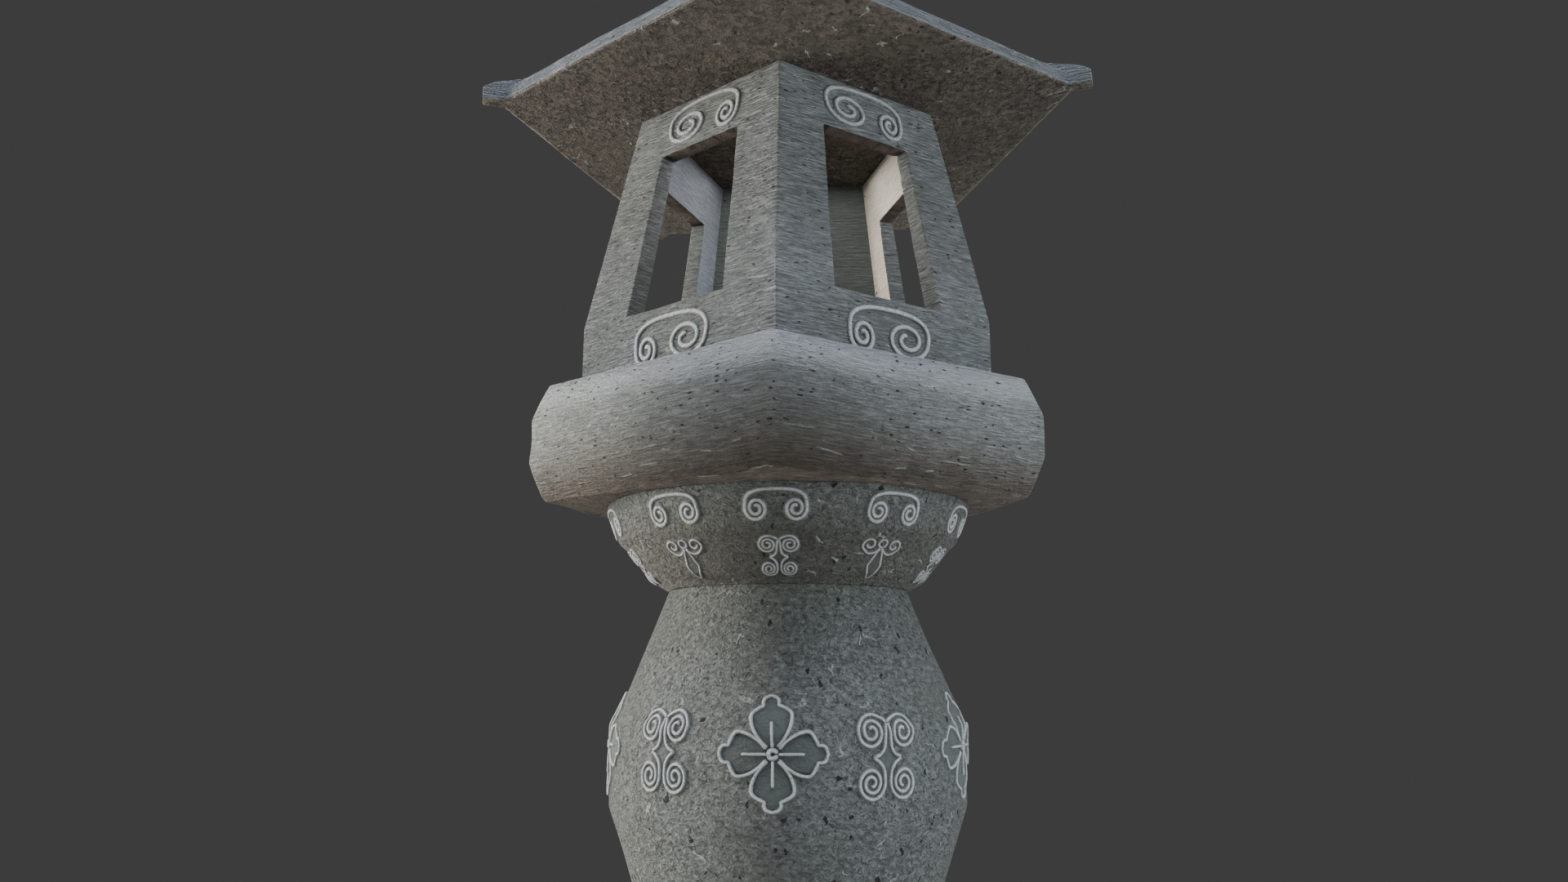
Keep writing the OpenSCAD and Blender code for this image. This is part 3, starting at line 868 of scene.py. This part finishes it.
def bevel_sharp(work, angle, offset, segments, spared=lambda edge: False):
    """Bevels the edges that turn by more than an angle in degrees, apart from the spared."""
    sharp = [e for e in work.edges if len(e.link_faces) == 2
             and e.calc_face_angle() > math.radians(angle) and not spared(e)]
    bmesh.ops.bevel(work, geom=sharp, offset=offset, segments=segments, profile=0.6,
                    affect="EDGES", clamp_overlap=True)


def on_mitre(edge):
    a, b = (v.co for v in edge.verts)
    return (abs((a - b).z) > 1 * MM
            and all(abs(abs(co.x) + co.y * MITRE) < 1 * MM for co in (a, b)))


def wall_solid(narrower=0.0):
    """The wall that faces -Y as a plain slab with its window, its arrises bevelled, cut into
    small cells. narrower is taken off each side of the window."""
    work = bmesh.new()
    sheets = []
    for inner in (0, 1):
        sheet = []
        for z in (BOX_LOW, SILL_Z, LINTEL_Z, BOX_TOP):
            y = lean(z, FACE_LOW, FACE_TOP) - inner * lean(z, THICK_LOW, THICK_TOP)
            half = (y - MITRE_GAP) * MITRE
            share = min(1, max(0, (z - SILL_Z) / (LINTEL_Z - SILL_Z)))
            window = WINDOW_LOW + (WINDOW_TOP - WINDOW_LOW) * share - narrower
            sheet.append([work.verts.new((x, -y, z)) for x in (-half, -window, window, half)])
        sheets.append(sheet)
    out, into = sheets
    for r, c in ((r, c) for r in range(3) for c in range(3) if (r, c) != (1, 1)):
        work.faces.new([out[r][c], out[r][c + 1], out[r + 1][c + 1], out[r + 1][c]])
        work.faces.new([into[r][c], into[r + 1][c], into[r + 1][c + 1], into[r][c + 1]])
    for r in range(3):
        work.faces.new([out[r][0], out[r + 1][0], into[r + 1][0], into[r][0]])
        work.faces.new([out[r][3], into[r][3], into[r + 1][3], out[r + 1][3]])
    for c in range(3):
        work.faces.new([out[0][c], into[0][c], into[0][c + 1], out[0][c + 1]])
        work.faces.new([out[3][c], out[3][c + 1], into[3][c + 1], into[3][c]])
    for (a, b), (c, d) in (((1, 1), (1, 2)), ((1, 2), (2, 2)), ((2, 2), (2, 1)), ((2, 1), (1, 1))):
        work.faces.new([out[a][b], out[c][d], into[c][d], into[a][b]])
    bmesh.ops.recalc_face_normals(work, faces=work.faces)
    bevel_sharp(work, 30, WALL_ARRIS, 3, on_mitre)
    bevel_sharp(work, 40, MITRE_ARRIS, 2)
    right, up = Vector((1, 0, 0)), Vector((0, 0, 1))
    for way, start, end in ((right, -0.15, 0.15), (up, BOX_LOW, BOX_TOP)):
        for at in np.arange(start, end, CELL)[1:]:
            bmesh.ops.bisect_plane(work, geom=work.verts[:] + work.edges[:] + work.faces[:],
                                   dist=0.2 * MM, plane_co=way * at, plane_no=way)
    mesh = bpy.data.meshes.new("wall_plain")
    work.to_mesh(mesh)
    work.free()
    return mesh


def wall(name, index, plain, scroll):
    """One wall in its place, index counted from the one right of the front corner."""
    piece = Piece()
    piece.solid(plain)
    flat = piece.points[0]
    normals = np.array([v.normal for v in plain.vertices])
    inside = np.clip(np.minimum(flat[:, 2] - BOX_LOW, BOX_TOP - flat[:, 2]) / (6 * MM), 0, 1)
    away = np.clip((-flat[:, 1] * MITRE - np.abs(flat[:, 0])) / (4 * MM), 0, 1)
    lumps = wobble(flat, 41 + index, 0.22 * MM, 0.03, 0.2) * inside * away
    arris = (np.abs(normals).max(1) < 0.9) & (away > 0.5) & (inside > 0.5)
    piece.points[0] = dented(pushed(flat, normals, lumps), normals, 51 + index, 4,
                             (2 * MM, 5 * MM), arris)
    lintel = flat_surface((0, -FACE_TOP, BOX_TOP), LEAN_UP)
    sill = flat_surface((0, -FACE_LOW, BREAK_Z), (0, 0, 1))
    add_bead(piece, lintel, scroll + (1.3, -8), 6.2, 2.2)
    add_bead(piece, sill, mirrored(scroll) + (-1.3, -14), 6.2, 2.2)
    spin = np.array(Matrix.Rotation((index + 0.5) * SIDE_TURN, 3, "Z"))
    piece.points = [part @ spin.T for part in piece.points]
    piece.finish(name + "_stone", "light_box", name, "stone_box", WALL_LOOK + [INSIDE_LOOKS[name]])


def light_box():
    plain, back = wall_solid(), wall_solid(BACK_NARROWER)
    scroll = double_scroll(107, 27, (24, 30, 24.7, 5.5, 1.75, (1.15, 0.9)),
                           (36.5, 33.7, 18.6, 2.8, 1.9, (0.9, 1.05)))
    for index, name in enumerate(INSIDE_TONES):
        wall(name, index, back if name == "wall_back" else plain, scroll)


light_box()


# ---------------------------------------------------------------- roof and finial

roof_low, roof_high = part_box("roof")
ROOF_LOW = roof_low.z
EAR_TIP = -roof_low.y
ROOF_R, ROOF_TOP_R = EAR_TIP - 18.5 * MM, 74 * MM
EAVE_H = 14.8 * MM
HIP_SLOPE = math.tan(math.radians(15))
HIP_GAIN = ((roof_high.z - ROOF_LOW - EAVE_H - (ROOF_R - ROOF_TOP_R) * HIP_SLOPE)
            / (ROOF_R - ROOF_TOP_R) ** 2)


def roof_height(r):
    """Height of the roof's faces over its underside at a corner radius."""
    return EAVE_H + (ROOF_R - r) * HIP_SLOPE + HIP_GAIN * (ROOF_R - r) ** 2


def eave_wear(rows):
    """The chamfer under the eave is painted pale as a highlight."""
    middle = np.hypot((rows[:, 0] - ROOF_R + 1.5 * MM) / 2, rows[:, 1] - ROOF_LOW - 0.5 * MM)
    return 0.5 + 0.3 * np.clip(1.6 - middle / (1 * MM), 0, 1)


def on_eave(points):
    return ((points[..., 2] < ROOF_LOW + EAVE_H + 2 * MM)
            & (np.hypot(points[..., 0], points[..., 1]) > ROOF_R * FACING * 0.98))


def add_hip(piece, turn, seed):
    """A raised hip with flat sides that runs down a corner and ends past the eave in an ear."""
    rise, side, soft, foot = 9 * MM, 9 * MM, 1.2 * MM, 0.02 * MM
    ear = [(EAR_TIP, 15.6 * MM), (EAR_TIP - 13 * MM, 22.9 * MM), (ROOF_R - 24 * MM, 31.2 * MM)]
    line = [(r, roof_height(r) + rise)
            for r in np.linspace(ROOF_R - 40 * MM, ROOF_TOP_R * 0.92, 26)]
    crest = rounded(ear + line, [3 * MM, 4 * MM] + [2 * MM] * 25, 5 * MM, 4)
    a = np.radians([0, 30, 60, 90])
    x = np.concatenate([[-side], soft * (1 - np.cos(a)) - side, [0]])
    drop = np.concatenate([[0], soft * (np.sin(a) - 1), [0]])
    x, drop = np.append(x, -x[-2::-1]), np.append(drop, drop[-2::-1])
    z = crest[:, 1:] + drop
    z[:, [0, -1]] = foot
    rings = np.stack(np.broadcast_arrays(x, -crest[:, :1], ROOF_LOW + z), -1)
    # the ear's end face is rounded at its edges
    first = rings[:1] * (0.9, 1, 0.9) + (0, 0, 0.1 * ROOF_LOW + 0.8 * MM)
    rings[0, :, 1] += 1 * MM
    rings = np.concatenate([first, rings])
    rings = np.concatenate([rings, rings[:, :1] * (0, 1, 0) + (0, 0, ROOF_LOW + foot)], 1)
    free = np.clip((rings[..., 2] - ROOF_LOW) / (5 * MM), 0, 1)
    rings = pushed(rings, outward(rings), wobble(rings, seed, 0.3 * MM, 0.03, 0.12) * free)
    piece.tube(rings @ np.array(Matrix.Rotation(turn, 3, "Z")).T)


def roof():
    piece = Piece()
    slope = [(r, ROOF_LOW + roof_height(r)) for r in np.linspace(ROOF_R, ROOF_TOP_R, 40)]
    eave = [(ROOF_R - 3 * MM, ROOF_LOW), (ROOF_R, ROOF_LOW + 1 * MM)]
    reach = np.array([0.4, 0.4, 1.5] + [1] * 39) * MM
    profile = closed_profile(eave + slope, reach, socket=False, spacing=6 * MM, turn=3)
    stone_skin(piece, profile, 31, 10, corner=4 * MM, columns=320, size=0.3 * MM,
               dent_size=(2, 6), dent_where=on_eave, worn=eave_wear)
    for k in range(SIDES):
        add_hip(piece, k * SIDE_TURN, 61 + k)
    made = piece.finish("roof_stone", "roof", "roof", "stone_roof", ROOF_LOOK)
    for face in made.data.polygons:
        if face.normal.z > -0.85:
            face.material_index = EXTRA


def finial():
    """A ring and a pointed jewel, cut from one stone."""
    low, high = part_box("finial")
    height, ring = high.z - low.z, high.x
    jewel = ring / 1.06
    waist = jewel * 0.58
    middle, under = 0.56 * height, 0.2 * height
    a = np.radians(np.arange(-50, 1, 10))
    lower = np.stack([jewel * np.cos(a), middle + under * np.sin(a) / math.sin(math.pi / 3)], -1)
    t = np.linspace(0.1, 0.97, 12)
    upper = np.stack([
        jewel * (1 - t) * (1 + 0.9 * t * (1 - t)) * (1 + 0.55 * t * (1 - t)) + 1.5 * MM * t,
        middle + (height - middle) * (0.75 * t + 0.25 * t * t)], -1)
    outside = [(waist * 1.5 - 12 * MM, 0), (waist * 1.5, 0), (waist * 1.5, height * 0.05),
               (waist, height * 0.1), (waist, height * 0.14), (ring * 0.86, height * 0.21),
               (ring, height * 0.285), (ring * 0.9, height * 0.325), (jewel * 0.5, height * 0.335)]
    skin = rounded(outside + list(lower) + list(upper) + [(0.4 * MM, height)], 4 * MM, 3 * MM, 4)
    socket = [(0.4 * MM, SOCKET_DEPTH), (SOCKET_R, SOCKET_DEPTH), (SOCKET_R, 2 * MM), (SOCKET_R, 0)]
    piece = Piece()
    stone_skin(piece, np.concatenate([socket, skin]) + (0, low.z), 33, 5, columns=160,
               dent_size=(3, 6))
    piece.finish("finial_stone", "finial", "finial", "stone_roof", ROOF_LOOK)


roof()
finial()


# ---------------------------------------------------------------- dowels, pins and cramps

HEAD_PIN_AT = FACE_TOP - THICK_TOP / 2  # how far the walls' middle is from the axis
SILL_PIN_AT = FACE_LOW - THICK_LOW / 2
PIN_R, PIN_ASIDE = 3.5 * MM, 62 * MM


def forged_rod(piece, node, radius=None, centre=(0, 0, 0), columns=28):
    """An upright rod as tall as a CAD node, with hammered flats and chamfered ends."""
    low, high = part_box(node)
    radius = radius or high.x
    cut = radius * 0.24
    rows = rounded([(0.2 * radius, low.z), (radius - cut, low.z), (radius, low.z + cut),
                    (radius, high.z - cut), (radius - cut, high.z), (0.2 * radius, high.z)],
                   cut * 0.6, 3 * MM, 3)
    a = np.linspace(0, 2 * math.pi, columns, endpoint=False)
    flats = 1 - 0.02 * np.abs(np.sin(4 * a))
    piece.tube(polar(rows[:, :1] * flats, a, rows[:, 1:]) + centre)


def pins():
    """Pins from the platform into the walls' feet, and from the walls' tops into the roof."""
    sill_pins, head_pins = Piece(), Piece()
    for k in range(SIDES):
        a = FRONT + (k + 0.5) * SIDE_TURN
        out, aside = (np.array([math.cos(b), math.sin(b), 0]) for b in (a, a + math.pi / 2))
        forged_rod(head_pins, "head_pins", PIN_R, out * HEAD_PIN_AT, 16)
        for s in (-1, 1):
            forged_rod(sill_pins, "sill_pins", PIN_R, out * SILL_PIN_AT + aside * s * PIN_ASIDE, 16)
    sill_pins.finish("sill_pin_rods", "platform", "sill_pins", "bronze", [BRONZE])
    head_pins.finish("head_pin_rods", "light_box", "head_pins", "bronze", [BRONZE])


def cramps():
    """Flat staples over the mitres, with a leg let into the top of each wall."""
    piece = Piece()
    low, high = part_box("corner_cramps")
    width, thick = 5 * MM, 4 * MM
    reach, top = 30 * MM - thick / 2, high.z - thick / 2
    half = ([(t * reach, top) for t in (0.12, 0.4, 0.7, 0.93)]
            + [(reach, z) for z in (top - 1.2 * MM, low.z + 3 * MM, low.z)])
    section = [(-1, -0.7), (-0.7, -1), (0.7, -1), (1, -0.7), (1, 0.7), (0.7, 1), (-0.7, 1),
               (-1, 0.7)]
    for k in range(SIDES):
        a = FRONT + k * SIDE_TURN
        corner = np.array([math.cos(a), math.sin(a), 0]) * HEAD_PIN_AT / FACING
        turns = [a + s * (math.pi / 2 + math.pi / SIDES) for s in (-1, 1)]
        ways = [np.array([math.cos(turn), math.sin(turn), 0]) for turn in turns]
        legs = [[corner + way * r + (0, 0, z) for r, z in half] for way in ways]
        path = np.array(legs[0][::-1] + legs[1])
        heading = unit(np.gradient(path, axis=0))
        level = heading.copy()
        level[:3], level[-3:] = -ways[0], ways[1]
        level = unit(np.cross(level, (0, 0, 1)))
        depth = np.cross(level, heading)
        piece.tube(np.stack([path + level * x * width / 2 + depth * z * thick / 2
                             for x, z in section], 1))
    piece.finish("corner_cramp_bars", "light_box", "corner_cramps", "bronze", [BRONZE])


for stone_below in ("plinth", "foot", "shaft", "bowl", "roof"):
    rod = Piece()
    forged_rod(rod, stone_below + "_dowel")
    rod.finish(stone_below + "_dowel_rod", stone_below, stone_below + "_dowel", "iron", [IRON])
pins()
cramps()


# ---------------------------------------------------------------- lamp


def lamp_pan():
    """A spun dish with a rolled lip and a spike for the candle."""
    low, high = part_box("lamp_pan")
    r = high.x / MM
    rows = rounded([(0.5, 0), (0.8 * r, 0), (r - 1.5, 13), (r, 15), (r - 2.2, 16), (r - 4, 13.5),
                    (0.8 * r - 2, 4), (9, 4), (5, 5.5), (2.6, 9), (2.2, 24), (0.4, 34)],
                   [3, 2, 1, 1, 2, 3, 2, 2, 2, 3], 3, 3) * MM + (0, low.z)
    points, _ = swept(rows, 96)
    free = (np.clip((rows[:, :1] - 12 * MM) / MM, 0, 1) * (rows[:, 1:] > low.z + 0.5 * MM))
    pan = Piece()
    pan.tube(pushed(points, outward(points), wobble(points, 71, 0.3 * MM, 0.012, 0.04) * free))
    pan.finish("lamp_pan_iron", "lamp", "lamp_pan", "iron", [IRON])


def candle():
    """A stub with a hollow round its wick and a few runs of wax down its side."""
    low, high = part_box("candle")
    r, h = high.x / MM, (high.z - low.z) / MM
    rows = rounded([(3.2, 30), (3.2, 0), (r - 0.5, 0), (r, 3), (r, h - 5), (r - 1.5, h),
                    (r - 5, h - 1.5), (r * 0.45, h - 5), (1.6, h - 4), (0.5, h - 3.6)],
                   [0.5, 1, 1.2, 2, 1.6, 2, 4, 1], 3, 4) * MM + (0, low.z)
    points, _ = swept(rows, 72)
    around = np.arctan2(points[..., 1], points[..., 0])
    drop = high.z - 4 * MM - points[..., 2]
    runs = sum(np.exp(-((np.angle(np.exp(1j * (around - a))) / width) ** 2)
                      - np.clip(drop / length, 0, 9) ** 6)
               for a, width, length in ((-1.2, 0.13, 0.03), (0.4, 0.1, 0.045),
                                        (1.9, 0.14, 0.02), (3.6, 0.11, 0.055)))
    outer = np.hypot(points[..., 0], points[..., 1]) > high.x - 1.2 * MM
    sag = np.clip(points[..., 2] - low.z - 4 * MM, 0, 1 * MM) / MM
    points[..., :2] *= (1 - 0.06 * outer * sag * (1 - 0.9 * np.clip(runs, 0, 1)))[..., None]
    piece = Piece()
    piece.tube(points)
    piece.finish("candle_wax", "candle", "candle", "wax", [wax_material()])


def wick():
    """Three strands twisted together."""
    low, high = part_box("wick")
    piece = Piece()
    t = np.linspace(0, 1, 60)[:, None]
    a = np.linspace(0, 2 * math.pi, 10, endpoint=False)
    for strand in range(3):
        twist = strand * 2 * math.pi / 3 + t * 2 * math.pi * 2.5
        axis = polar(0.55 * MM, twist, low.z + (high.z - low.z) * t)
        piece.tube(axis + polar(0.52 * MM * (1 - 0.3 * t), a, 0))
    piece.finish("wick_braid", "candle", "wick", "wick", [wick_material(high.z)])


lamp_pan()
candle()
wick()


# ---------------------------------------------------------------- floor, lights and camera

FLOOR_R = 1.55


def add_object(name, data):
    made = bpy.data.objects.new(name, data)
    bpy.context.scene.collection.objects.link(made)
    return made


def floor():
    """A pale matt floor that fades out towards its rim."""
    n = Nodes(bpy.data.materials.new("pale_floor"))
    at = n.place(0, 0, 0)
    speck = n.noise(at, 60, 5, 0.6)
    n.feed(n.shader.inputs["Base Color"], n.mix(speck, colour("b9b9b6"), colour("c6c6c3")))
    n.shader.inputs["Roughness"].default_value = 0.85
    n.feed(n.shader.inputs["Alpha"], n.between(n.vector("LENGTH", at), FLOOR_R, 0.7 * FLOOR_R))
    mesh = bpy.data.meshes.new("floor")
    work = bmesh.new()
    bmesh.ops.create_circle(work, cap_ends=True, radius=FLOOR_R, segments=96)
    work.to_mesh(mesh)
    work.free()
    mesh.materials.append(n.owner)
    made = add_object("floor", mesh)
    made.location.z = -0.5 * MM


def area_light(name, place, size, power, tint, aim):
    data = bpy.data.lights.new(name, "AREA")
    data.shape = "RECTANGLE"
    data.size, data.size_y = size
    data.energy = power
    data.color = tint
    light = add_object(name, data)
    light.location = place
    light.rotation_euler = (Vector(aim) - Vector(place)).to_track_quat("-Z", "Y").to_euler()
    return light


def studio_world(seen, above, level, below):
    """Even light from all round, a little cooler from above and warmer from below, with one
    plain grey behind the object."""
    n = Nodes(bpy.data.worlds.new("studio"))
    n.tree.nodes.clear()
    height = n.put("SeparateXYZ", {0: n.put("TexCoord").outputs["Generated"]}).outputs[2]
    up, down = (n.put("MapRange", {0: height, 2: end}, interpolation_type="SMOOTHSTEP")
                for end in (0.8, -0.8))
    light = n.put("Background", {0: n.mix(down, n.mix(up, level, above), below)})
    seen_by_camera = n.put("LightPath").outputs["Is Camera Ray"]
    either = n.put("MixShader", {0: seen_by_camera, 1: light, 2: n.put("Background", {0: seen})})
    n.put("OutputWorld", {0: either})
    bpy.context.scene.world = n.owner


floor()
area_light("warm_left", (-3.0, 0.15, 1.02), (1.9, 1.3), 246, (1.0, 0.945, 0.88), (0, 0, 0.9))
area_light("cool_right", (2.95, -0.4, 0.8), (1.8, 1.3), 86, (0.87, 0.93, 1.0), (0, 0, 0.9))
area_light("sky", (0.0, -1.05, 3.4), (2.8, 0.9), 118, (0.84, 0.88, 1.0), (0, -0.25, 0.84))
area_light("bounce", (0.5, -2.3, 0.25), (2.4, 0.5), 8, (0.92, 0.96, 1.0), (0, 0, 1.15))
area_light("soft_back", (0.0, 3.4, 1.6), (2.6, 2.2), 40, (1.0, 0.98, 0.95), (0, 0, 0.85))
inner_fill = area_light("inner_fill", (0, 0, 1.183), (0.2, 0.2), 0.48, (1.0, 0.98, 0.96),
                        (0, 0.001, 0))
inner_fill.visible_camera = False
studio_world(seen=colour("414141"), above=(0.4, 0.42, 0.5, 1), level=(0.15, 0.16, 0.165, 1),
             below=(0.33, 0.28, 0.24, 1))

lens = bpy.data.cameras.new("camera")
lens.lens = 24.324
lens.sensor_width = 36
camera = add_object("camera", lens)
camera.location = (0.06085, -1.24852, 0.525)
camera.rotation_euler = (math.radians(90 + 12.104), 0, math.radians(3.0137))
bpy.context.scene.camera = camera
